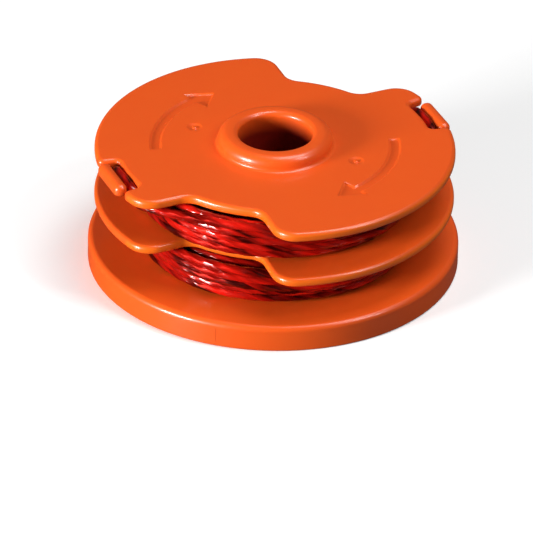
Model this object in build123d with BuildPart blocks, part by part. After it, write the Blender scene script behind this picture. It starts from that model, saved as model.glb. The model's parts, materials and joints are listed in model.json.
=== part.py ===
"""Two-channel trimmer line spool: one moulded body and the two lengths of line wound on it.

Millimetres and degrees. The spool stands on its base flange with the bore along Z, the origin is where the
axis meets the standing plane, and the X axis passes through the two line-retaining tabs of the top flange.
"""
import os
from math import cos, degrees, hypot, pi, radians, sin, sqrt, tan

from build123d import *

os.makedirs("parts", exist_ok=True)

# The line and the way it is wound
line_diameter = 1.65
line_length = 3000.0
line_looseness = 1.06
line_play = 0.15
turn_relief = 0.3
turn_chords = 54
tail_sides = 6

# Flanges and channels
base_diameter = 62.0
base_height = 4.5
base_bevel = 0.7
flange_diameter = 60.0
flange_bevel = 0.5
divider_thickness = 1.5
top_thickness = 1.6
channel_height = 7.0

# Bore, drum and collar
bore_diameter = 12.4
bore_wall = 2.0
core_gap = 2.7
drum_wall = 1.6
collar_wall = 3.4
collar_height = 2.4
collar_bevel = 1.2
collar_bevel_ease = 0.45
collar_lip_bevel = 0.5
collar_foot_bevel = 0.5

# Cored underside
skirt_wall = 2.1
base_plate_thickness = 1.9
bore_end_setback = 0.6
rib_count = 6
rib_thickness = 1.2
rib_setback = 1.4
lug_count = 8
lug_length = 6.0
lug_width = 2.6
lug_ramp = 1.8
lug_height = 2.0
lug_skirt_gap = 1.9
weld_overlap = 0.3

# Windows through the divider and the top flange
window_angle = 43.75
top_window_depth = 7.7
divider_window_depth = 8.4
window_inner_half_angle = 16.2
window_outer_half_angle = 23.5
window_inner_round = 3.0
window_outer_round = 4.0

# Line-retaining tabs: a straight bar across a notch in the rim, set a little back from the X axis
tab_angle = -1.3
tab_length = 8.9
tab_thickness = 1.65
tab_overhang = 0.1
tab_bevel = 0.5
notch_half_angle = 10.7
notch_round = 1.0
slot_clearance = 0.1
slot_floor_drop = 0.3
web_width = 2.8
web_thickness = 1.0
web_setback = 0.75
web_bearing = 0.5

# Arrow recesses and gate marks in the top face
arrow_rim_distance = 10.1
arrow_width = 1.95
arrow_depth = 0.35
arrow_tail_angle = 163.5
arrow_neck_angle = 109.7
arrow_tip_angle = 96.7
arrow_head_width = 5.2
gate_collar_distance = 4.8
gate_angle = 134.7
gate_diameter = 2.8
gate_depth = 0.25

# Tails of the line, from the winding to the tab
tail_sink = 0.1
tail_headroom = 0.55
tail_crest_rise = 0.37
tail_crest_margin = 0.6
tail_entry_margin = 0.7
tail_exit_margin = 1.3
tail_end_margin = 3.4
tail_end_flare = 1.35
tail_end_drop = 1.1
upper_tail_lead = 47.0
lower_tail_lead = 66.0
lower_tail_window_lead = 40.0
lower_tail_window_clearance = 1.0
lower_tail_climb_lead = 26.0
bend_share = 0.45

# Levels and radii that follow from the sizes above
divider_z = base_height + channel_height
upper_z = divider_z + divider_thickness
top_z = upper_z + channel_height
face_z = top_z + top_thickness
collar_z = face_z + collar_height
plate_z = base_height - base_plate_thickness
base_radius = base_diameter / 2
skirt_radius = base_radius - skirt_wall
flange_radius = flange_diameter / 2
bore_radius = bore_diameter / 2
sleeve_radius = bore_radius + bore_wall
core_radius = sleeve_radius + core_gap
drum_radius = core_radius + drum_wall
collar_radius = bore_radius + collar_wall
arrow_radius = flange_radius - arrow_rim_distance
line_radius = line_diameter / 2
tab_outside = flange_radius + tab_overhang
slot_width = line_diameter + slot_clearance
slot_radius = tab_outside - tab_thickness - slot_width / 2
notch_radius = slot_radius - slot_width / 2
slot_floor_z = top_z - slot_floor_drop

# Radius that the whole length fills in one channel, and the turns that lie side by side there
winding_area = line_length * line_diameter**2 * line_looseness / channel_height
winding_radius = sqrt(drum_radius**2 + winding_area / pi)
turn_count = int(channel_height / line_diameter)
winding_margin = (channel_height - turn_count * line_diameter) / 2


def polar(radius, angle):
    """Plan position at a radius and an angle about the axis."""
    return radius * cos(radians(angle)), radius * sin(radians(angle))


def from_axis(point):
    """Distance of a point from the axis, rounded for grouping."""
    return round(hypot(point.X, point.Y), 3)


def flange_sketch(level, window_depth):
    """Flange round the drum with its two windows, rounded at their inner and outer corners."""
    with BuildSketch(Plane.XY.offset(level)) as flange:
        Circle(flange_radius)
        Circle(drum_radius - drum_wall / 2, mode=Mode.SUBTRACT)
        for angle in (window_angle, window_angle + 180):
            with BuildLine():
                inner_start = angle - window_inner_half_angle
                outer_start = angle - window_outer_half_angle
                inner = CenterArc((0, 0), flange_radius - window_depth, inner_start, 2 * window_inner_half_angle)
                outer = CenterArc((0, 0), flange_radius, outer_start, 2 * window_outer_half_angle)
                Line(inner @ 0, outer @ 0)
                Line(inner @ 1, outer @ 1)
            make_face(mode=Mode.SUBTRACT)
        fillet(flange.vertices().group_by(from_axis)[-2], window_inner_round)
        fillet(flange.vertices().group_by(from_axis)[-1], window_outer_round)
    return flange.sketch


def rim_edges(level):
    """Edges of the body at one level that lie outside the drum."""
    level_edges = spool_body.edges().filter_by_position(Axis.Z, level, level)
    return level_edges.filter_by(lambda edge: from_axis(edge @ 0.5) > drum_radius + drum_wall)


def in_tab(edge):
    """Whether an edge lies outside the notch's inner wall."""
    return from_axis(edge @ 0.5) > notch_radius + slot_width / 2


# Moulded body
with BuildPart() as spool_body:
    # Base flange, drum, sleeve round the bore and collar, turned from one half-section
    with BuildSketch(Plane.XZ) as half_section:
        with BuildLine():
            Polyline(
                (bore_radius, bore_end_setback),
                (sleeve_radius, bore_end_setback),
                (sleeve_radius, top_z),
                (core_radius, top_z),
                (core_radius, plate_z),
                (skirt_radius, plate_z),
                (skirt_radius, 0),
                (base_radius, 0),
                (base_radius, base_height),
                (drum_radius, base_height),
                (drum_radius, face_z),
                (collar_radius, face_z),
                (collar_radius, collar_z),
                (bore_radius, collar_z),
                close=True,
            )
        make_face()
        bevels = (
            (base_radius, base_height, base_bevel),
            (collar_radius, face_z, collar_foot_bevel),
            (collar_radius, collar_z, collar_bevel),
            (bore_radius, collar_z, collar_lip_bevel),
        )
        for radius, level, bevel in bevels:
            chamfer(half_section.vertices().sort_by_distance((radius, level))[0], bevel)
        chamfer(half_section.vertices().sort_by_distance((collar_radius, collar_z))[:2], collar_bevel_ease)
    revolve(axis=Axis.Z)

    # Divider and top flange, with their upper edges broken
    flanges = ((divider_z, divider_thickness, divider_window_depth), (top_z, top_thickness, top_window_depth))
    for level, thickness, window_depth in flanges:
        extrude(flange_sketch(level, window_depth), amount=thickness)
        chamfer(rim_edges(level + thickness), flange_bevel)

    # Web that carries each tab from below, then the notch in the rim and the bar that closes it
    web_inside = notch_radius - web_bearing
    web_outside = tab_outside - web_setback
    with BuildSketch(Plane.XY.offset(top_z - web_thickness)):
        with PolarLocations((web_inside + web_outside) / 2, 2, start_angle=tab_angle):
            Rectangle(web_outside - web_inside, web_width)
    extrude(amount=web_thickness)
    with BuildSketch(Plane.XY.offset(slot_floor_z)) as notches:
        for angle in (tab_angle, tab_angle + 180):
            with BuildLine():
                inner = CenterArc((0, 0), notch_radius, angle - notch_half_angle, 2 * notch_half_angle)
                outer = CenterArc((0, 0), base_radius, angle - notch_half_angle, 2 * notch_half_angle)
                Line(inner @ 0, outer @ 0)
                Line(inner @ 1, outer @ 1)
            make_face()
        fillet(notches.vertices().group_by(from_axis)[0], notch_round)
    extrude(amount=face_z - slot_floor_z, mode=Mode.SUBTRACT)
    with BuildSketch(Plane.XY.offset(slot_floor_z)):
        with PolarLocations(tab_outside - tab_thickness / 2, 2, start_angle=tab_angle):
            RectangleRounded(tab_thickness, tab_length, tab_thickness / 2 - tab_bevel / 4)
    tabs = extrude(amount=face_z - slot_floor_z)
    chamfer(tabs.edges().filter_by_position(Axis.Z, face_z, face_z).filter_by(in_tab), tab_bevel)

    # Arrow recesses that show the winding direction
    with BuildSketch(Plane.XY.offset(face_z)):
        for half_turn in (0, 180):
            tail_angle = arrow_tail_angle + half_turn
            neck_angle = arrow_neck_angle + half_turn
            with BuildLine():
                inner = CenterArc((0, 0), arrow_radius - arrow_width / 2, tail_angle, neck_angle - tail_angle)
                outer = CenterArc((0, 0), arrow_radius + arrow_width / 2, tail_angle, neck_angle - tail_angle)
                Line(inner @ 0, outer @ 0)
                Polyline(
                    inner @ 1,
                    polar(arrow_radius - arrow_head_width / 2, neck_angle),
                    polar(arrow_radius, arrow_tip_angle + half_turn),
                    polar(arrow_radius + arrow_head_width / 2, neck_angle),
                    outer @ 1,
                )
            make_face()
    extrude(amount=-arrow_depth, mode=Mode.SUBTRACT)

    # Round gate marks
    with BuildSketch(Plane.XY.offset(face_z)):
        with PolarLocations(collar_radius + gate_collar_distance, 2, start_angle=gate_angle):
            Circle(gate_diameter / 2)
    extrude(amount=-gate_depth, mode=Mode.SUBTRACT)

    # Ribs between the sleeve and the drum
    with BuildSketch(Plane.XY.offset(rib_setback)):
        with PolarLocations((sleeve_radius + core_radius) / 2, rib_count):
            Rectangle(core_gap + 2 * weld_overlap, rib_thickness)
    extrude(amount=top_z - rib_setback)

    # Ramped lugs under the base plate
    lug_planes = []
    for step in range(lug_count):
        angle = 360 * step / lug_count
        foot = (*polar(skirt_radius - lug_skirt_gap - lug_length, angle), plate_z)
        lug_planes.append(Plane(foot, x_dir=(*polar(1, angle + 90), 0), z_dir=(*polar(1, angle), 0)))
    with BuildSketch(*lug_planes):
        with BuildLine():
            Polyline(
                (-lug_width / 2, weld_overlap),
                (-lug_width / 2, -lug_height),
                (lug_width / 2, -lug_height),
                (lug_width / 2 + lug_ramp, weld_overlap),
                close=True,
            )
        make_face()
    extrude(amount=lug_length)

spool_body.part.label = "spool_body"
export_step(spool_body.part, "parts/spool_body.step")


def turn_level(channel_floor, turn):
    """Height of the middle of one turn, counted from the channel's floor."""
    return channel_floor + winding_margin + (turn + 0.5) * line_diameter


def slot_crossing(angle):
    """Route of a tail through one tab's slot: up at one end, over the web and down at the other end."""
    under_flange_z = top_z - line_radius - tail_headroom
    crest_z = slot_floor_z + line_radius + tail_crest_rise
    crest = web_width / 2 + tail_crest_margin
    slot_end = radians(notch_half_angle) * slot_radius - notch_round
    stations = (
        (slot_end + tail_entry_margin, 0, under_flange_z),
        (crest, 0, crest_z),
        (-crest, 0, crest_z),
        (-slot_end - tail_exit_margin, 0, under_flange_z),
        (-slot_end - tail_end_margin, tail_end_flare, under_flange_z - tail_end_drop),
    )
    return [
        (*polar(slot_radius + flare, angle + degrees(along / slot_radius)), level)
        for along, flare, level in stations
    ]


def bend_radii(route):
    """Bend radius at each inner point of a route, as large as the two runs that meet there allow."""
    radii = []
    for before, corner, after in zip(route, route[1:], route[2:]):
        arriving = Vector(corner) - Vector(before)
        leaving = Vector(after) - Vector(corner)
        shorter_run = min(arriving.length, leaving.length)
        radii.append(bend_share * shorter_run / tan(radians(arriving.get_angle(leaving) / 2)))
    return radii


def wound_line(channel_floor, tail_route):
    """One length of line: turns side by side in a channel, drawn in short chords, and the tail."""
    with BuildPart() as line:
        for half_step in range(2 * turn_count + 1):
            level = turn_level(channel_floor, half_step / 2 - 0.5)
            with BuildSketch(Plane.XY.offset(level)):
                RegularPolygon(winding_radius if half_step % 2 else winding_radius - turn_relief, turn_chords)
        loft(ruled=True)
        with BuildSketch(Plane.XY.offset(channel_floor)):
            Circle(drum_radius + line_play)
        extrude(amount=channel_height, mode=Mode.SUBTRACT)
        with BuildLine() as tail:
            FilletPolyline(*tail_route, radius=bend_radii(tail_route))
        with BuildSketch(Plane(tail.line @ 0, z_dir=tail.line % 0)):
            RegularPolygon(line_radius, tail_sides)
        sweep()
    return line.part


# Upper line, whose tail runs straight from the winding to the tab on the -X side
tail_start_radius = winding_radius - line_radius - tail_sink
upper_start = (*polar(tail_start_radius, 180 + upper_tail_lead), turn_level(upper_z, turn_count - 1))
upper_line = wound_line(upper_z, [upper_start, *slot_crossing(180 + tab_angle)])
upper_line.label = "upper_line"
export_step(upper_line, "parts/upper_line.step")

# Lower line, whose tail climbs through the divider's window to the tab on the +X side
window_pass_z = divider_z + divider_thickness / 2
window_pass_radius = winding_radius + line_radius + lower_tail_window_clearance
climb_z = (window_pass_z + top_z - line_radius - tail_headroom) / 2
lower_route = [
    (*polar(tail_start_radius, lower_tail_lead), turn_level(base_height, turn_count // 2)),
    (*polar(window_pass_radius, lower_tail_window_lead), window_pass_z),
    (*polar((window_pass_radius + slot_radius) / 2, lower_tail_climb_lead), climb_z),
    *slot_crossing(tab_angle),
]
lower_line = wound_line(base_height, lower_route)
lower_line.label = "lower_line"
export_step(lower_line, "parts/lower_line.step")
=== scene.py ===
import cmath
import json
import math
import random

import bmesh
import bpy
from mathutils import Matrix, Vector


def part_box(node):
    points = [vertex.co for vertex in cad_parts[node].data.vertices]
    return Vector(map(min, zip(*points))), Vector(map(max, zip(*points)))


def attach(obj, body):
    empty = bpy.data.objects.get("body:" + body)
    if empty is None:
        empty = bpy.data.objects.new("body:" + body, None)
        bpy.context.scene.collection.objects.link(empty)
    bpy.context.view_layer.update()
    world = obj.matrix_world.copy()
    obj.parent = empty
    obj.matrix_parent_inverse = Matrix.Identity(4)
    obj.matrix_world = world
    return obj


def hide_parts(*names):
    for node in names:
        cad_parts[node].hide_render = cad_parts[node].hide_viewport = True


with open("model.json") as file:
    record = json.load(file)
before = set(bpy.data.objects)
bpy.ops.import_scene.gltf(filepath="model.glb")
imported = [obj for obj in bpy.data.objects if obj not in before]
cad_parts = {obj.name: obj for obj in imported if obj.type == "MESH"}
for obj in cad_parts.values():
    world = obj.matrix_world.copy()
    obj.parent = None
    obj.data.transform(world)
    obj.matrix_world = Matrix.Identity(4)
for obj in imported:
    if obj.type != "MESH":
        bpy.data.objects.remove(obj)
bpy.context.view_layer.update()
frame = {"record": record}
mm = 0.001
spoolLow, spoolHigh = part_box("spool_body")
boreMount = next(m for m in frame["record"]["mounts"] if m["name"] == "bore")


# Plan points are complex numbers in millimetres, so a turn is a product
def polar(radius, angle):
    return cmath.rect(radius, math.radians(angle))


def arcBetween(start, centre, end):
    return start, centre, cmath.phase((end - centre) / (start - centre))


def mirrored(arcs, angle):
    turn = polar(1, 2 * angle)
    ends = [(centre + (start - centre) * cmath.exp(1j * sweep), centre, sweep) for start, centre, sweep in arcs]
    return [(turn * end.conjugate(), turn * centre.conjugate(), sweep) for end, centre, sweep in reversed(ends)]


def drawArcs(bm, arcs, height, chord=0.9, turn=math.radians(9)):
    previous = None
    for start, centre, sweep in arcs:
        steps = math.ceil(max(abs(sweep) * abs(start - centre) / chord, abs(sweep) / turn))
        first = bm.verts.new((start.real, start.imag, height))
        if previous:
            bm.edges.new((previous, first))
        spun = bmesh.ops.spin(bm, geom=[first], cent=(centre.real, centre.imag, height), axis=(0, 0, 1),
                              angle=sweep, steps=steps)
        previous = spun["geom_last"][0]
    return previous


def closeLoop(bm):
    bmesh.ops.remove_doubles(bm, verts=bm.verts, dist=0.02)  # arcs meet within rounding errors
    loop = [e for e in bm.edges if not e.link_faces]
    face = bmesh.ops.edgeloop_fill(bm, edges=loop)["faces"][0]
    if face.normal.z < 0:
        face.normal_flip()
    return face


def stepInward(bm, face, rings):
    for thickness, depth in rings:
        bmesh.ops.inset_individual(bm, faces=[face], thickness=thickness, depth=depth, use_even_offset=True)


def quarterRound(radius, segments=6):
    bends = [math.pi / 2 * step / segments for step in range(segments + 1)]
    return [(radius * (math.cos(a) - math.cos(b)), radius * (math.sin(b) - math.sin(a)))
            for a, b in zip(bends, bends[1:])]


def raiseFace(bm, face, height):
    raised = bmesh.ops.extrude_face_region(bm, geom=[face])["geom"]
    bmesh.ops.translate(bm, vec=(0, 0, height), verts=[g for g in raised if isinstance(g, bmesh.types.BMVert)])
    bmesh.ops.recalc_face_normals(bm, faces=bm.faces)
    return sorted((f for f in bm.faces if abs(f.normal.z) > 0.9), key=lambda f: f.normal.z)


def roundedPlate(bm, low, high, lowerRound, upperRound):
    lower, upper = raiseFace(bm, closeLoop(bm), high - upperRound - low - lowerRound)
    stepInward(bm, upper, quarterRound(upperRound))
    stepInward(bm, lower, quarterRound(lowerRound))
    return lower, upper


def levelEdges(bm, height):
    return [e for e in bm.edges if all(abs(v.co.z - height) < 1e-4 for v in e.verts)]


def roundEdges(bm, edges, radius, segments=6):
    bmesh.ops.bevel(bm, geom=edges, offset=radius, offset_type="OFFSET", affect="EDGES", segments=segments,
                    profile=0.5, material=-1, clamp_overlap=False)


def moveInto(bm, piece):
    mesh = bpy.data.meshes.new("part")
    piece.to_mesh(mesh)
    piece.free()
    bm.from_mesh(mesh)
    bpy.data.meshes.remove(mesh)


def halfTurnTwice(bm):
    copied = bmesh.ops.duplicate(bm, geom=bm.verts[:] + bm.edges[:] + bm.faces[:])["geom"]
    bmesh.ops.rotate(bm, verts=[g for g in copied if isinstance(g, bmesh.types.BMVert)], cent=(0, 0, 0),
                     matrix=Matrix.Rotation(math.pi, 3, "Z"))


def finishPiece(name, bm, sharpAngle=40):
    bmesh.ops.scale(bm, vec=(mm, mm, mm), verts=bm.verts)
    mesh = bpy.data.meshes.new(name)
    bm.to_mesh(mesh)
    bm.free()
    mesh.shade_smooth()
    mesh.set_sharp_from_angle(angle=math.radians(sharpAngle))
    piece = bpy.data.objects.new(name, mesh)
    bpy.context.scene.collection.objects.link(piece)
    return piece


# Turned half of the moulding: corners of the half-section as radius, height and rounding
turned = {
    "bore": boreMount["dims"]["r_mm"], "sleeve": 8.2, "core": 10.9, "drum": 12.5, "collar": 9.6, "skirt": 28.9,
    "base": spoolHigh.x / mm, "boreEnd": 0.6, "plate": 2.6, "baseTop": 4.5,
    "dividerLow": 11.5, "dividerHigh": 13.0,
    "topLow": 20.0, "topHigh": 21.6, "collarTop": spoolHigh.z / mm, "steps": 192, "segments": 7,
    "collarRound": 1.55, "lipRound": 0.85, "footRound": 0.6, "rimRound": 0.95, "edgeRound": 0.3,
    "shadeDepth": 3.0,
}


def turnedBody():
    t = turned
    corners = [
        (t["bore"], t["boreEnd"], t["edgeRound"]),
        (t["sleeve"], t["boreEnd"], t["edgeRound"]),
        (t["sleeve"], t["topLow"], t["edgeRound"]),
        (t["core"], t["topLow"], t["edgeRound"]),
        (t["core"], t["plate"], t["edgeRound"]),
        (t["skirt"], t["plate"], t["edgeRound"]),
        (t["skirt"], 0, t["edgeRound"]),
        (t["base"], 0, t["edgeRound"]),
        (t["base"], t["baseTop"], t["rimRound"]),
        (t["drum"], t["baseTop"], 0),
        (t["drum"], t["dividerLow"], 0),
        (t["drum"], t["dividerHigh"], 0),
        (t["drum"], t["topLow"], 0),
        (t["drum"], t["topHigh"], 0),
        (t["collar"], t["topHigh"], t["footRound"]),
        (t["collar"], t["collarTop"], t["collarRound"]),
        (t["bore"], t["collarTop"], t["lipRound"]),
        (t["bore"], t["collarTop"] - t["lipRound"] - t["shadeDepth"], 0),
    ]
    bm = bmesh.new()
    verts = [bm.verts.new((radius, 0, height)) for radius, height, _ in corners]
    bm.faces.new(verts)
    for size in sorted({corner[2] for corner in corners} - {0}):
        sharp = [v for v, corner in zip(verts, corners) if corner[2] == size]
        bmesh.ops.bevel(bm, geom=sharp, offset=size, offset_type="OFFSET", affect="VERTICES",
                        segments=t["segments"], profile=0.5, material=-1)
    bmesh.ops.delete(bm, geom=bm.faces[:], context="FACES_ONLY")

    # the flanges fill these stretches of the section
    def insideFlange(edge):
        middle = (edge.verts[0].co + edge.verts[1].co) / 2
        onDrum = all(abs(v.co.x - t["drum"]) < 1e-4 for v in edge.verts)
        inDivider = t["dividerLow"] < middle.z < t["dividerHigh"]
        onFace = all(abs(v.co.z - t["topHigh"]) < 1e-4 for v in edge.verts)
        return onFace or onDrum and (inDivider or middle.z > t["topLow"])

    bmesh.ops.delete(bm, geom=[e for e in bm.edges if insideFlange(e)], context="EDGES")
    bmesh.ops.delete(bm, geom=[v for v in bm.verts if not v.link_edges], context="VERTS")
    bmesh.ops.spin(bm, geom=bm.verts[:] + bm.edges[:], cent=(0, 0, 0), axis=(0, 0, 1), angle=math.tau,
                   steps=t["steps"], use_merge=True)
    return bm


# Flanges: windows, and in the top one the notches round the line tabs
flange = {
    "radius": 30.0, "windowAngle": 43.75, "innerHalf": 16.2, "outerHalf": 23.5, "innerRound": 3.0,
    "outerRound": 4.0,
    "topDepth": 7.7, "dividerDepth": 8.4, "slotInner": 26.5, "slotRound": 1.0, "tabAngle": -1.3,
    "notchAngle": -0.65, "notchHalf": 10.05,
    "notchRound": 1.0, "upperRound": 0.72, "lowerRound": 0.45,
    "glowBand": 1.2, "glowMargin": 2, "tabMargin": 3,
}


def sideTouch(foot, along, offset, reach):
    base = foot + 1j * along * offset
    height = (base * along.conjugate()).real
    step = -height + math.sqrt(height**2 - abs(base) ** 2 + reach**2)
    return base + along * step, foot + along * step


def windowArcs(depth):
    f = flange
    inner = polar(f["radius"] - depth, f["windowAngle"] - f["innerHalf"])
    outer = polar(f["radius"], f["windowAngle"] - f["outerHalf"])
    along = (outer - inner) / abs(outer - inner)
    centre, touch = sideTouch(inner, along, -f["outerRound"], f["radius"] - f["outerRound"])
    arcs = [arcBetween(centre * f["radius"] / abs(centre), centre, touch)]
    centre, touch = sideTouch(inner, along, f["innerRound"], abs(inner) + f["innerRound"])
    arcs.append(arcBetween(touch, centre, centre * abs(inner) / abs(centre)))
    arcs.append(arcBetween(centre * abs(inner) / abs(centre), 0, polar(abs(inner), f["windowAngle"])))
    return arcs + mirrored(arcs, f["windowAngle"])


def notchArcs():
    f = flange
    middle = 180 + f["notchAngle"]
    side = middle - f["notchHalf"]
    reach = f["radius"] - f["notchRound"]
    lean = math.degrees(math.asin(f["notchRound"] / reach))
    touch = polar(reach * math.cos(math.radians(lean)), side)
    arcs = [arcBetween(polar(f["radius"], side - lean), polar(reach, side - lean), touch)]
    reach = f["slotInner"] + f["slotRound"]
    lean = math.degrees(math.asin(f["slotRound"] / reach))
    touch = polar(reach * math.cos(math.radians(lean)), side)
    arcs.append(arcBetween(touch, polar(reach, side + lean), polar(f["slotInner"], side + lean)))
    arcs.append(arcBetween(polar(f["slotInner"], side + lean), 0, polar(f["slotInner"], middle)))
    return arcs + mirrored(arcs, middle)


def flangePlate(low, high, depth, notch):
    f = flange
    window = windowArcs(depth)
    tail = notchArcs() if notch else []
    windowEnd = window[-1][1] + (window[-1][0] - window[-1][1]) * cmath.exp(1j * window[-1][2])
    if notch:
        last = tail[-1]
        rimStart = -(last[1] + (last[0] - last[1]) * cmath.exp(1j * last[2]))
        rimEnd = tail[0][0]
    else:
        rimStart, rimEnd = polar(f["radius"], 0), polar(f["radius"], 180)
    bm = bmesh.new()
    drawArcs(bm, [arcBetween(rimStart, 0, window[0][0]), *window, arcBetween(windowEnd, 0, rimEnd), *tail],
             low + f["lowerRound"])
    halfTurnTwice(bm)
    flats = roundedPlate(bm, low, high, f["lowerRound"], f["upperRound"])
    bmesh.ops.delete(bm, geom=flats, context="FACES_ONLY")
    return bm


# Recesses in the top face: winding arrows and gate marks
arrow = {
    "radius": 19.9, "width": 2.15, "tail": 163.5, "neck": 109.7, "tip": 96.7, "outerBarb": 2.75, "innerBarb": 3.5,
    "lip": ((0.14, -0.05), (0.2, -0.22), (0.12, -0.06)),
}
gate = {
    "radius": 14.4, "angle": 134.7, "width": 2.9,
    "dish": ((0.22, -0.04), (0.3, -0.11), (0.3, -0.05), (0.18, 0.0), (0.08, 0.14), (0.09, 0.05)),
}


def arrowRecess(height):
    a = arrow
    bm = bmesh.new()
    inner, outer = a["radius"] - a["width"] / 2, a["radius"] + a["width"] / 2
    last = drawArcs(bm, [
        arcBetween(polar(outer, a["neck"]), 0, polar(outer, a["tail"])),
        arcBetween(polar(inner, a["tail"]), 0, polar(inner, a["neck"])),
    ], height)
    head = [polar(a["radius"] - a["innerBarb"], a["neck"]), polar(a["radius"], a["tip"]),
            polar(a["radius"] + a["outerBarb"], a["neck"])]
    for point in head:
        corner = bm.verts.new((point.real, point.imag, height))
        bm.edges.new((last, corner))
        last = corner
    bm.verts.ensure_lookup_table()
    bm.edges.new((last, bm.verts[0]))
    face = closeLoop(bm)
    stepInward(bm, face, a["lip"])
    face.material_index = 1
    halfTurnTwice(bm)
    return bm


def gateMark(height):
    g = gate
    bm = bmesh.new()
    centre = polar(g["radius"], g["angle"])
    bmesh.ops.create_circle(bm, cap_ends=True, segments=36, radius=g["width"] / 2,
                            matrix=Matrix.Translation((centre.real, centre.imag, height)))
    face = bm.faces[:][0]
    if face.normal.z < 0:
        face.normal_flip()
    stepInward(bm, face, g["dish"])
    halfTurnTwice(bm)
    return bm


# Line tabs, straight bars with rounded ends, and the webs that carry them from below
tab = {
    "outer": 30.15, "inner": 27.95, "length": 8.8, "endRound": 1.0, "low": 19.7,
    "lowerRound": 0.4, "upperRound": 0.95,
    "webWidth": 2.8, "webLow": 19.0, "webInner": 26.2, "webOuter": 29.35, "sink": 0.35, "webRound": 0.25,
}


def turnToTab(bm):
    turn = Matrix.Rotation(math.radians(flange["tabAngle"]), 3, "Z")
    bmesh.ops.rotate(bm, verts=bm.verts, cent=(0, 0, 0), matrix=turn)
    halfTurnTwice(bm)
    return bm


def lineTab(high):
    end = tab["endRound"]
    reach = tab["length"] / 2 - end
    outer, inner = tab["outer"] - end, tab["inner"] + end
    corners = [complex(outer, reach), complex(inner, reach), complex(inner, -reach), complex(outer, -reach)]
    bm = bmesh.new()
    drawArcs(bm, [(corner + end * 1j**step, corner, math.pi / 2) for step, corner in enumerate(corners)],
             tab["low"], turn=math.radians(15))
    bm.edges.new([v for v in bm.verts if len(v.link_edges) == 1])
    raiseFace(bm, closeLoop(bm), high - tab["low"])
    roundEdges(bm, levelEdges(bm, high), tab["upperRound"])
    roundEdges(bm, levelEdges(bm, tab["low"]), tab["lowerRound"])
    return turnToTab(bm)


def tabWeb(high):
    outer, top = tab["webOuter"], high + tab["sink"]
    near, slot = tab["webInner"], flange["slotInner"]
    section = [(near, tab["webLow"]), (outer, tab["webLow"]), (outer, top), (tab["inner"] + tab["sink"], top),
               (tab["inner"], tab["low"]), (slot, tab["low"]), (slot - tab["sink"], top), (near, top)]
    bm = bmesh.new()
    face = bm.faces.new([bm.verts.new((x, -tab["webWidth"] / 2, z)) for x, z in section])
    raised = bmesh.ops.extrude_face_region(bm, geom=[face])["geom"]
    moved = [g for g in raised if isinstance(g, bmesh.types.BMVert)]
    bmesh.ops.translate(bm, vec=(0, tab["webWidth"], 0), verts=moved)
    bmesh.ops.recalc_face_normals(bm, faces=bm.faces)
    roundEdges(bm, levelEdges(bm, tab["webLow"]), tab["webRound"], 3)
    return turnToTab(bm)


# Underside: ribs in the core, ramped lugs under the base plate, and the parting line on the rim
under = {
    "ribs": 6, "ribWidth": 1.2, "ribLow": 1.4, "lugs": 8, "lugInner": 21.0, "lugLength": 6.0, "lugWidth": 2.6,
    "lugRamp": 1.8, "lugHeight": 2.0, "sink": 0.3, "seamAngle": 228.2, "seamWidth": 0.14, "seamProud": 0.03,
    "seamLow": 0.35, "seamHigh": 3.6,
}


def ribsAndLugs():
    u = under
    bm = bmesh.new()
    for step in range(u["ribs"]):
        size = (turned["core"] - turned["sleeve"] + 2 * u["sink"], u["ribWidth"], turned["topLow"] - u["ribLow"])
        place = Matrix.Rotation(math.tau * step / u["ribs"], 4, "Z") @ Matrix.Translation(
            ((turned["core"] + turned["sleeve"]) / 2, 0, u["ribLow"] + size[2] / 2))
        bmesh.ops.create_cube(bm, size=1, matrix=place @ Matrix.Diagonal((*size, 1)))
    roundEdges(bm, levelEdges(bm, u["ribLow"]), 0.2, 3)
    for step in range(2):
        size = (1.0, u["seamWidth"], u["seamHigh"] - u["seamLow"])
        place = Matrix.Rotation(math.radians(u["seamAngle"] + 180 * step), 4, "Z") @ Matrix.Translation(
            (turned["base"] + u["seamProud"] - size[0] / 2, 0, u["seamLow"] + size[2] / 2))
        bmesh.ops.create_cube(bm, size=1, matrix=place @ Matrix.Diagonal((*size, 1)))
    lug = bmesh.new()
    half, foot = u["lugWidth"] / 2, turned["plate"] - u["lugHeight"]
    section = [(-half, turned["plate"] + u["sink"]), (-half, foot), (half, foot),
               (half + u["lugRamp"], turned["plate"] + u["sink"])]
    face = lug.faces.new([lug.verts.new((u["lugInner"], y, z)) for y, z in section])
    raised = bmesh.ops.extrude_face_region(lug, geom=[face])["geom"]
    moved = [g for g in raised if isinstance(g, bmesh.types.BMVert)]
    bmesh.ops.translate(lug, vec=(u["lugLength"], 0, 0), verts=moved)
    bmesh.ops.recalc_face_normals(lug, faces=lug.faces)
    roundEdges(lug, levelEdges(lug, foot), 0.25, 3)
    one = lug.verts[:] + lug.edges[:] + lug.faces[:]
    bmesh.ops.spin(lug, geom=one, cent=(0, 0, 0), axis=(0, 0, 1), angle=math.tau * (u["lugs"] - 1) / u["lugs"],
                   steps=u["lugs"] - 1, use_duplicate=True)
    moveInto(bm, lug)
    return bm


# Vertex marks for the plastic: a painted glow makes the flange edges a little warmer, and painted shade darkens
# the bore with depth
def offAxis(angle, middle):
    return abs((angle - middle + 90) % 180 - 90)


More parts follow.
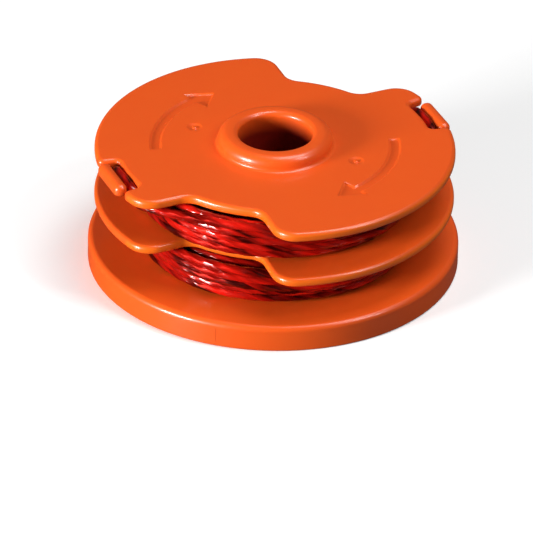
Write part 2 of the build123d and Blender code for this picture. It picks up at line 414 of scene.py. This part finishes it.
def markSurfaces(bm):
    t, f = turned, flange
    # painted glow: the flange edges are marked for a warmer colour, as if light came through the thin plastic
    glow = bm.verts.layers.float.new("paintedEdgeGlow")
    depth = bm.verts.layers.float.new("paintedBoreShadeMask")
    for v in bm.verts:
        radius, angle = math.hypot(v.co.x, v.co.y), math.degrees(math.atan2(v.co.y, v.co.x))
        inWindow = offAxis(angle, f["windowAngle"]) < f["outerHalf"] + f["glowMargin"]
        onRim = radius > f["radius"] - f["glowBand"] or radius > t["drum"] + 1 and inWindow
        for low, high in ((t["dividerLow"], t["dividerHigh"]), (t["topLow"], t["topHigh"])):
            if onRim and low < v.co.z < high and offAxis(angle, f["tabAngle"]) > f["notchHalf"] + f["tabMargin"]:
                v[glow] = min(1.0, 3 * min(v.co.z - low, high - v.co.z) / (high - low))
        # painted shade: the bore is marked darker the deeper it goes
        if radius < t["sleeve"] - 0.5:
            v[depth] = min(1.0, max(0.0, (t["collarTop"] - t["lipRound"] - v.co.z) / t["shadeDepth"]))


def buildSpool():
    t = turned
    bm = turnedBody()
    moveInto(bm, flangePlate(t["dividerLow"], t["dividerHigh"], flange["dividerDepth"], False))
    moveInto(bm, flangePlate(t["topLow"], t["topHigh"], flange["topDepth"], True))
    moveInto(bm, arrowRecess(t["topHigh"]))
    moveInto(bm, gateMark(t["topHigh"]))
    for level in (t["dividerLow"], t["dividerHigh"], t["topLow"], t["topHigh"]):
        rims = [e for e in levelEdges(bm, level) if e.is_boundary]
        bmesh.ops.triangle_fill(bm, use_beauty=True, edges=rims, normal=(0, 0, 1))
    moveInto(bm, lineTab(t["topHigh"]))
    moveInto(bm, tabWeb(t["topLow"]))
    moveInto(bm, ribsAndLugs())
    bmesh.ops.remove_doubles(bm, verts=bm.verts, dist=1e-4)
    bmesh.ops.recalc_face_normals(bm, faces=bm.faces)
    markSurfaces(bm)
    loose = sum(1 for e in bm.edges if len(e.link_faces) != 2)
    print("spool moulding", len(bm.faces), "faces,", loose, "open edges")
    return finishPiece("spoolMoulding", bm)


# Wound line: one twisted length in each channel, ending in the tail behind its tab
line = {
    "diameter": 1.65, "drumPlay": 0.15, "outerRadius": 22.8, "slack": 0.9, "slackAngle": -85,
    "outerTurns": 8.6, "twistPitch": 13.0, "sectionPoints": 16, "innerPoints": 12, "outerPoints": 24, "layers": 6,
    "resolution": 10, "flatness": 0.06, "wobble": 0.55,
    "channel": 7.0, "wallGap": 0.12, "packing": 0.93, "crossing": 0.75, "tiltLimit": 376, "lift": 0.3,
}


def sectionCurve():
    radius, count = line["diameter"] / 2, line["sectionPoints"]
    curve = bpy.data.curves.new("lineSection", "CURVE")
    curve.dimensions = "2D"
    ring = curve.splines.new("POLY")
    ring.points.add(count - 1)
    for step, point in enumerate(ring.points):
        angle = math.tau * step / count
        reach = radius * (1 - line["flatness"] * (1 - math.cos(4 * angle)))
        point.co = (reach * math.cos(angle) * mm, reach * math.sin(angle) * mm, 0, 1)
    ring.use_cyclic_u = True
    return bpy.data.objects.new("lineSection", curve)


def windingPoints(floor, endAngle, endLevel, innerTurns, seed):
    # wound back from the outer end, so that the last turn leaves where the tail starts
    rng = random.Random(seed)
    waves = [(rng.uniform(0.3, 3.3), rng.uniform(0, math.tau), rng.uniform(0.4, 1)) for _ in range(6)]
    radius = line["diameter"] / 2
    low = floor + radius + line["wallGap"]
    span = line["channel"] - 2 * (radius + line["wallGap"])
    drum = turned["drum"] + line["drumPlay"] + radius
    turns = innerTurns + line["outerTurns"]
    perLayer = turns / line["layers"]
    phase = (endLevel - low) / span
    points = []
    done = 0.0
    while done < turns:
        outer = done < line["outerTurns"]
        count = line["outerPoints"] if outer else line["innerPoints"]
        share = max(0.0, (done - line["outerTurns"]) / innerTurns)
        layer = done // perLayer
        shake = sum(size * math.sin(rate * math.tau * done + start) for rate, start, size in waves) / 4
        angle = endAngle + 360 * done
        reach = line["outerRadius"] - line["crossing"] * layer if outer else (
            drum + (line["outerRadius"] - line["crossing"] - drum) * (1 - share) * line["packing"])
        if outer:
            reach += line["slack"] * max(0.0, math.cos(math.radians(angle - line["slackAngle"])))
        swing = abs((phase + done / perLayer) % 2 - 1)
        height = low + min(span, max(0.0, span * (1 - swing) + line["wobble"] * shake))
        bulge = 3 / (2 + math.cos(math.tau / count))
        points.append((polar((reach + line["lift"] * shake) * bulge, angle), height))
        done += 1 / count
    points.reverse()
    return points


def windLine(name, floor, endAngle, endLevel, tail, innerTurns, seed):
    route = [(p.real, p.imag, z) for p, z in windingPoints(floor, endAngle, endLevel, innerTurns, seed)] + tail
    curve = bpy.data.curves.new(name, "CURVE")
    curve.dimensions = "3D"
    curve.resolution_u = line["resolution"]
    curve.twist_mode = "Z_UP"
    spline = curve.splines.new("NURBS")
    spline.points.add(len(route) - 1)
    # tilt has a limited range, so the twist is given to the outer turns and the tail, where it shows
    run = 0.0
    ahead = Vector(route[-1])
    for point, place in zip(reversed(spline.points), reversed(route)):
        run += (ahead - Vector(place)).length
        ahead = Vector(place)
        point.co = (*(ahead * mm), 1)
        point.tilt = max(-line["tiltLimit"], line["tiltLimit"] - math.tau * run / line["twistPitch"])
    spline.order_u = 4
    spline.use_endpoint_u = True
    holder = bpy.data.objects.new(name + "Path", curve)
    bpy.context.scene.collection.objects.link(holder)
    graph = bpy.context.evaluated_depsgraph_get()
    path = bpy.data.meshes.new_from_object(holder.evaluated_get(graph))
    length = sum((path.vertices[e.vertices[0]].co - path.vertices[e.vertices[1]].co).length for e in path.edges)
    bpy.data.meshes.remove(path)
    section = sectionCurve()
    curve.bevel_mode = "OBJECT"
    curve.bevel_object = section
    curve.use_fill_caps = True
    bpy.context.scene.collection.objects.link(section)
    graph.update()
    mesh = bpy.data.meshes.new_from_object(holder.evaluated_get(graph))
    mesh.name = name
    for helper in (holder, section):
        bpy.data.objects.remove(helper)
    mesh.shade_smooth()
    piece = bpy.data.objects.new(name, mesh)
    bpy.context.scene.collection.objects.link(piece)
    print(name, round(length / mm), "mm of line,", len(mesh.polygons), "faces")
    return piece


# Tails: the stations across a slot are distance along it, outward flare and height
tail = {
    "slotRadius": 27.3,
    "slot": ((6.8, 0, 18.3), (5.5, 0, 18.9), (4.6, 0, 19.95), (3.3, 0, 20.6), (1.2, 0, 20.7), (-1.2, 0, 20.7),
             (-2.9, 0, 20.5), (-4.0, 0, 19.8), (-4.9, 0.15, 18.8), (-6.2, 0.7, 18.1), (-7.55, 1.35, 17.4)),
    "upperStart": (227.0, 18.975), "lowerStart": (66.0, 8.825),
    "lowerClimb": ((25.27, 40.0, 12.25), (26.42, 26.0, 15.4375)),
}


def tailRoute(tabAngle, climb):
    route = [(polar(radius, angle), height) for radius, angle, height in climb]
    for along, flare, height in tail["slot"]:
        angle = tabAngle + math.degrees(along / tail["slotRadius"])
        route.append((polar(tail["slotRadius"] + flare, angle), height))
    return [(p.real, p.imag, z) for p, z in route]


# Materials: small helpers, then a shared noise group, for the mould grain of the plastic and for the painted
# light and shade on the line
def addNode(tree, kind, x, y, **values):
    node = tree.nodes.new(kind)
    node.location = (x, y)
    for name, value in values.items():
        setattr(node, name, value)
    return node


def noiseGroup():
    tree = bpy.data.node_groups.new("grainAndPaintedLight", "ShaderNodeTree")
    for name, kind, default in (("Vector", "NodeSocketVector", None), ("Cloud Scale", "NodeSocketFloat", 120.0),
                                ("Grain Scale", "NodeSocketFloat", 1800.0)):
        socket = tree.interface.new_socket(name, in_out="INPUT", socket_type=kind)
        if default is not None:
            socket.default_value = default
    for name in ("Cloud", "Grain"):
        tree.interface.new_socket(name, in_out="OUTPUT", socket_type="NodeSocketFloat")
    source = addNode(tree, "NodeGroupInput", -600, 0)
    target = addNode(tree, "NodeGroupOutput", 400, 0)
    cloud = addNode(tree, "ShaderNodeTexNoise", -300, 200)
    cloud.inputs["Detail"].default_value = 3
    noise = addNode(tree, "ShaderNodeTexNoise", -300, -50)
    noise.inputs["Detail"].default_value = 2
    for texture, scale in ((cloud, "Cloud Scale"), (noise, "Grain Scale")):
        tree.links.new(source.outputs["Vector"], texture.inputs["Vector"])
        tree.links.new(source.outputs[scale], texture.inputs["Scale"])
    tree.links.new(cloud.outputs["Fac"], target.inputs["Cloud"])
    tree.links.new(noise.outputs["Fac"], target.inputs["Grain"])
    return tree


grainAndPaintedLight = noiseGroup()

# edge is the colour of the painted glow on the flange edges, and the darkest colour is the painted shade deep in
# the bore
plastic = {
    "face": (0.83, 0.102, 0.010), "cloud": (0.78, 0.091, 0.0085), "edge": (0.85, 0.140, 0.006),
    "paintedBoreShade": (0.20, 0.008, 0.003), "recess": (0.77, 0.088, 0.0085), "roughLow": 0.28, "roughHigh": 0.38,
    "subsurface": 0.12, "scatter": 0.0012, "coat": 0.22, "coatRough": 0.1, "bump": 0.05, "bumpHeight": 0.00006,
}


def plasticMaterial(name, face):
    material = bpy.data.materials.new(name)
    material.use_nodes = True
    tree = material.node_tree
    shader = tree.nodes["Principled BSDF"]
    place = addNode(tree, "ShaderNodeTexCoord", -1500, 0)
    noise = addNode(tree, "ShaderNodeGroup", -1250, 0, node_tree=grainAndPaintedLight)
    tree.links.new(place.outputs["Object"], noise.inputs["Vector"])

    # colour: slow clouds, then the painted glow on the rounded flange edges, then the painted shade in the depth
    # of the bore
    clouds = addNode(tree, "ShaderNodeMix", -900, 300, data_type="RGBA")
    clouds.inputs["A"].default_value, clouds.inputs["B"].default_value = (*face, 1), (*plastic["cloud"], 1)
    tree.links.new(noise.outputs["Cloud"], clouds.inputs["Factor"])
    # painted glow on the flange edges
    edge = addNode(tree, "ShaderNodeAttribute", -900, 550, attribute_name="paintedEdgeGlow")
    paintedGlowMix = addNode(tree, "ShaderNodeMix", -650, 300, data_type="RGBA")
    paintedGlowMix.inputs["B"].default_value = (*plastic["edge"], 1)
    tree.links.new(edge.outputs["Fac"], paintedGlowMix.inputs["Factor"])
    tree.links.new(clouds.outputs["Result"], paintedGlowMix.inputs["A"])
    # painted shade deep in the bore
    shade = addNode(tree, "ShaderNodeAttribute", -650, 550, attribute_name="paintedBoreShadeMask")
    paintedBoreShade = addNode(tree, "ShaderNodeMix", -400, 300, data_type="RGBA")
    paintedBoreShade.inputs["B"].default_value = (*plastic["paintedBoreShade"], 1)
    tree.links.new(shade.outputs["Fac"], paintedBoreShade.inputs["Factor"])
    tree.links.new(paintedGlowMix.outputs["Result"], paintedBoreShade.inputs["A"])
    tree.links.new(paintedBoreShade.outputs["Result"], shader.inputs["Base Color"])

    rough = addNode(tree, "ShaderNodeMapRange", -650, -50)
    rough.inputs["To Min"].default_value = plastic["roughLow"]
    rough.inputs["To Max"].default_value = plastic["roughHigh"]
    tree.links.new(noise.outputs["Cloud"], rough.inputs["Value"])
    tree.links.new(rough.outputs["Result"], shader.inputs["Roughness"])
    skin = addNode(tree, "ShaderNodeBump", -400, -250)
    skin.inputs["Strength"].default_value = plastic["bump"]
    skin.inputs["Distance"].default_value = plastic["bumpHeight"]
    tree.links.new(noise.outputs["Grain"], skin.inputs["Height"])
    tree.links.new(skin.outputs["Normal"], shader.inputs["Normal"])
    shader.inputs["IOR"].default_value = 1.5
    shader.inputs["Coat Weight"].default_value = plastic["coat"]
    shader.inputs["Coat Roughness"].default_value = plastic["coatRough"]
    shader.inputs["Subsurface Weight"].default_value = plastic["subsurface"]
    shader.inputs["Subsurface Radius"].default_value = (1.0, 0.35, 0.1)
    shader.inputs["Subsurface Scale"].default_value = plastic["scatter"]
    return material


# light and dark are painted light and shade on the red line: bright red for light passing through the strands,
# near black for shade between them
nylon = {
    "light": (0.66, 0.009, 0.004), "dark": (0.02, 0.0005, 0.0004), "patch": (0.39, 0.68),
    "fleck": (700, 1.6, 1), "gleam": (0.51, 0.55), "cloudScale": 1, "streak": (130, 2.2, 1),
    "roughness": 0.3, "ior": 1.5, "level": 0.8, "tint": (1.0, 0.03, 0.015), "coat": 1.0,
    "coatRough": 0.03, "coatIor": 1.5,
}


def lineMaterial():
    material = bpy.data.materials.new("redLine")
    material.use_nodes = True
    tree = material.node_tree
    shader = tree.nodes["Principled BSDF"]
    place = addNode(tree, "ShaderNodeTexCoord", -1200, 0)
    noise = addNode(tree, "ShaderNodeGroup", -950, 0, node_tree=grainAndPaintedLight)
    noise.inputs["Cloud Scale"].default_value = nylon["cloudScale"]
    along = addNode(tree, "ShaderNodeMapping", -1080, 0)
    along.inputs["Scale"].default_value = nylon["streak"]
    tree.links.new(place.outputs["UV"], along.inputs["Vector"])
    tree.links.new(along.outputs["Vector"], noise.inputs["Vector"])
    # painted light and shade: noise streaks along the strands mix the lit and the shaded red
    patch = addNode(tree, "ShaderNodeMapRange", -780, 200)
    patch.inputs["From Min"].default_value, patch.inputs["From Max"].default_value = nylon["patch"]
    tree.links.new(noise.outputs["Cloud"], patch.inputs["Value"])
    paintedLightStreaks = addNode(tree, "ShaderNodeMix", -600, 200, data_type="RGBA")
    paintedLightStreaks.inputs["A"].default_value = (*nylon["dark"], 1)
    paintedLightStreaks.inputs["B"].default_value = (*nylon["light"], 1)
    tree.links.new(patch.outputs["Result"], paintedLightStreaks.inputs["Factor"])
    tree.links.new(paintedLightStreaks.outputs["Result"], shader.inputs["Base Color"])
    shader.inputs["Roughness"].default_value = nylon["roughness"]
    shader.inputs["IOR"].default_value = nylon["ior"]
    shader.inputs["Specular IOR Level"].default_value = nylon["level"]
    shader.inputs["Specular Tint"].default_value = (*nylon["tint"], 1)
    # glints come in short flecks along the strands
    dashes = addNode(tree, "ShaderNodeMapping", -1080, -300)
    dashes.inputs["Scale"].default_value = nylon["fleck"]
    tree.links.new(place.outputs["UV"], dashes.inputs["Vector"])
    flecks = addNode(tree, "ShaderNodeGroup", -850, -300, node_tree=grainAndPaintedLight)
    flecks.inputs["Cloud Scale"].default_value = 1
    tree.links.new(dashes.outputs["Vector"], flecks.inputs["Vector"])
    gleam = addNode(tree, "ShaderNodeMapRange", -600, -300)
    gleam.inputs["From Min"].default_value, gleam.inputs["From Max"].default_value = nylon["gleam"]
    gleam.inputs["To Max"].default_value = nylon["coat"]
    tree.links.new(flecks.outputs["Cloud"], gleam.inputs["Value"])
    tree.links.new(gleam.outputs["Result"], shader.inputs["Coat Weight"])
    shader.inputs["Coat Roughness"].default_value = nylon["coatRough"]
    shader.inputs["Coat IOR"].default_value = nylon["coatIor"]
    return material


spoolPiece = buildSpool()
spoolPiece.modifiers.new("flatFaces", "WEIGHTED_NORMAL").keep_sharp = True
spoolPiece.data.materials.append(plasticMaterial("orangePlastic", plastic["face"]))
# recess floors are coloured a little darker than the face
spoolPiece.data.materials.append(plasticMaterial("recessPlastic", plastic["recess"]))

upperTail = tailRoute(180 + flange["tabAngle"], [])
lowerTail = tailRoute(flange["tabAngle"], tail["lowerClimb"])
upperPiece = windLine("upperLine", turned["dividerHigh"], *tail["upperStart"], upperTail, 15.9, 4)
lowerPiece = windLine("lowerLine", turned["baseTop"], *tail["lowerStart"], lowerTail, 15.8, 7)
redLine = lineMaterial()
for piece, node in ((spoolPiece, "spool_body"), (upperPiece, "upper_line"), (lowerPiece, "lower_line")):
    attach(piece, "root")
    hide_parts(node)
upperPiece.data.materials.append(redLine)
lowerPiece.data.materials.append(redLine)

# Camera at the photo's view
view = {
    "azimuth": -24.5, "elevation": 30.57, "roll": 1.17, "distance": 1.2, "lens": 483.6,
    "right": -1.056, "down": 1.83,
}


def fromAngles(azimuth, elevation):
    a, e = math.radians(azimuth), math.radians(elevation)
    return Vector((math.sin(a) * math.cos(e), -math.cos(a) * math.cos(e), math.sin(e)))


def placeCamera():
    camera = bpy.data.objects.new("camera", bpy.data.cameras.new("camera"))
    camera.data.lens = view["lens"]
    back = fromAngles(view["azimuth"], view["elevation"])
    turn = (-back).to_track_quat("-Z", "Y").to_matrix() @ Matrix.Rotation(math.radians(view["roll"]), 3, "Z")
    aim = turn @ Vector((view["right"] * mm, -view["down"] * mm, 0))
    camera.matrix_world = Matrix.Translation(aim + back * view["distance"]) @ turn.to_4x4()
    bpy.context.scene.collection.objects.link(camera)
    bpy.context.scene.camera = camera


# Softboxes, seen from the camera's side: turn and height in degrees, then distance, size and power
lights = {
    "key": (-56, 13, 0.6, 0.2, 0.14, 6.0),
    "fillNear": (60, 46, 0.6, 0.05, 0.24, 0.55),
    "fillFar": (72, 46, 0.6, 0.05, 0.24, 0.55),
    "top": (105, 74, 0.7, 0.36, 0.36, 2.7),
}
stage = {"world": 0.05, "backdrop": 1.0, "floor": 0.97, "bounce": 0.06, "glow": 0.15, "floorRough": 0.3}


def placeLights():
    for name, (turn, height, distance, width, tall, power) in lights.items():
        lamp = bpy.data.lights.new(name, "AREA")
        lamp.shape = "RECTANGLE"
        lamp.size, lamp.size_y, lamp.energy = width, tall, power
        holder = bpy.data.objects.new(name, lamp)
        back = fromAngles(view["azimuth"] + turn, height)
        facing = (-back).to_track_quat("-Z", "Y").to_matrix().to_4x4()
        holder.matrix_world = Matrix.Translation(back * distance) @ facing
        bpy.context.scene.collection.objects.link(holder)
    world = bpy.data.worlds.new("studio")
    world.use_nodes = True
    tree = world.node_tree
    seen = addNode(tree, "ShaderNodeLightPath", -600, 0)
    level = addNode(tree, "ShaderNodeMapRange", -300, 0)
    level.inputs["To Min"].default_value, level.inputs["To Max"].default_value = stage["world"], stage["backdrop"]
    tree.links.new(seen.outputs["Is Camera Ray"], level.inputs["Value"])
    tree.links.new(level.outputs["Result"], tree.nodes["Background"].inputs["Strength"])
    tree.nodes["Background"].inputs["Color"].default_value = (1, 1, 1, 1)
    bpy.context.scene.world = world
    bpy.context.scene.view_settings.view_transform = "Standard"


# Pale floor that throws little light back up, as on a dark studio table
def placeFloor():
    bm = bmesh.new()
    bmesh.ops.create_grid(bm, x_segments=1, y_segments=1, size=3 / mm)
    floor = finishPiece("floor", bm)
    material = bpy.data.materials.new("paleFloor")
    material.use_nodes = True
    tree = material.node_tree
    shader = tree.nodes["Principled BSDF"]
    seen = addNode(tree, "ShaderNodeLightPath", -700, 0)
    tone = addNode(tree, "ShaderNodeMix", -400, 0, data_type="RGBA")
    tone.inputs["A"].default_value = (*[stage["bounce"]] * 3, 1)
    tone.inputs["B"].default_value = (*[stage["floor"]] * 3, 1)
    tree.links.new(seen.outputs["Is Camera Ray"], tone.inputs["Factor"])
    tree.links.new(tone.outputs["Result"], shader.inputs["Base Color"])
    shader.inputs["Roughness"].default_value = stage["floorRough"]
    glow = addNode(tree, "ShaderNodeMix", -400, -300, data_type="RGBA")
    glow.inputs["A"].default_value, glow.inputs["B"].default_value = (0, 0, 0, 1), (*[stage["glow"]] * 3, 1)
    tree.links.new(seen.outputs["Is Camera Ray"], glow.inputs["Factor"])
    tree.links.new(glow.outputs["Result"], shader.inputs["Emission Color"])
    shader.inputs["Emission Strength"].default_value = 1
    floor.data.materials.append(material)


placeCamera()
placeLights()
placeFloor()
print("stage set")
